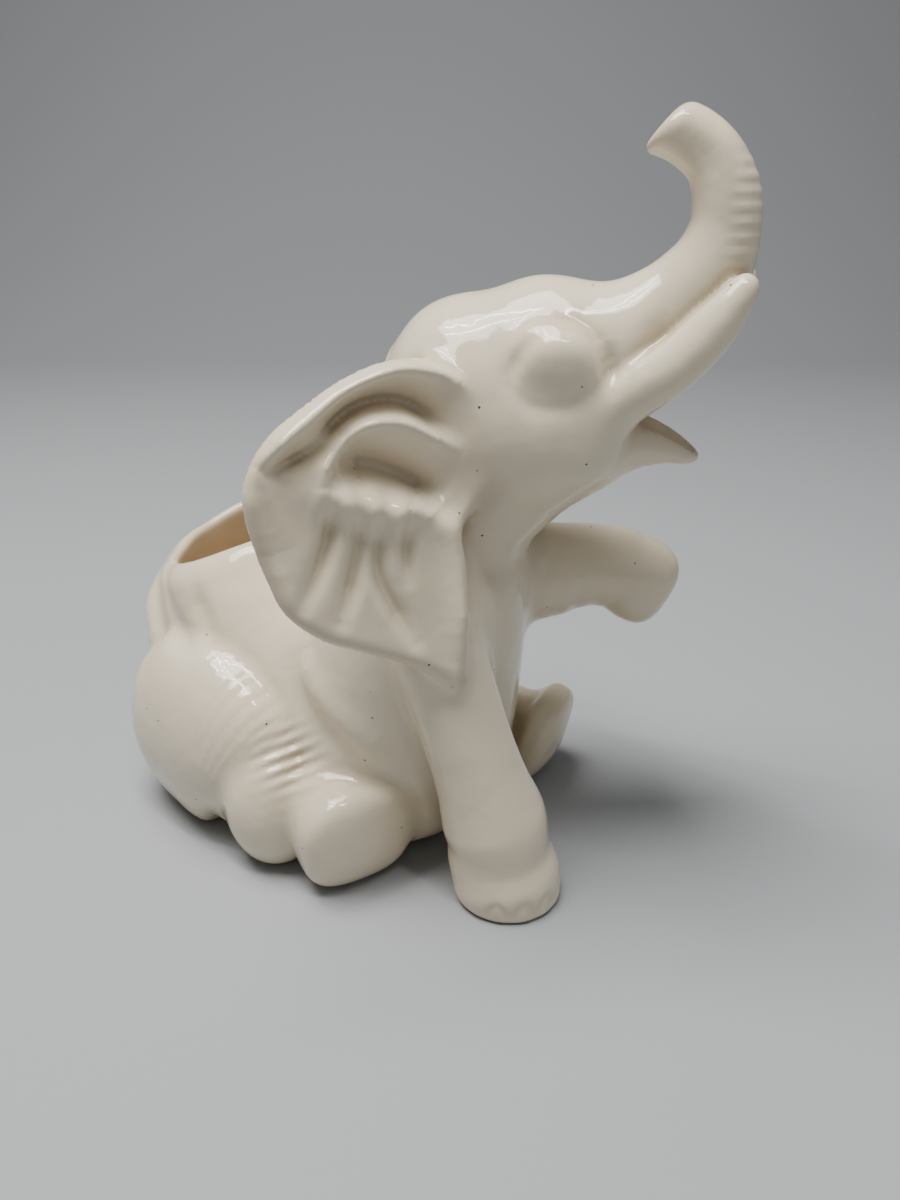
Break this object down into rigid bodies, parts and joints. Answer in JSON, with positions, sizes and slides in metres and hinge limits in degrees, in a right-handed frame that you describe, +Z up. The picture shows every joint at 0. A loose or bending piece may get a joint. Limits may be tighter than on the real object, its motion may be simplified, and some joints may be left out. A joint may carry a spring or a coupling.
{
  "type": "ceramic elephant planter figurine",
  "caption": "Seated baby elephant figurine with raised trunk and foreleg, turned head and an open round planter well in its back, in glossy white glaze.",
  "frame": {"origin": "centre of the flat seat face the figure stands on, below the body", "axes": "+X towards the elephant's front, +Y to its left, +Z up"},
  "size_m": [0.1825, 0.1282, 0.2013],
  "materials": {
    "glaze": "glossy off-white glaze with fine dark pinholes"
  },
  "bodies": {
    "root": {"torso": "glaze", "head": "glaze", "trunk": "glaze", "lower_jaw": "glaze", "right_tusk": "glaze", "left_tusk": "glaze", "right_ear": "glaze", "left_ear": "glaze", "right_foreleg": "glaze", "left_foreleg": "glaze", "right_hind_leg": "glaze", "left_hind_leg": "glaze", "tail": "glaze"}
  },
  "joints": []
}
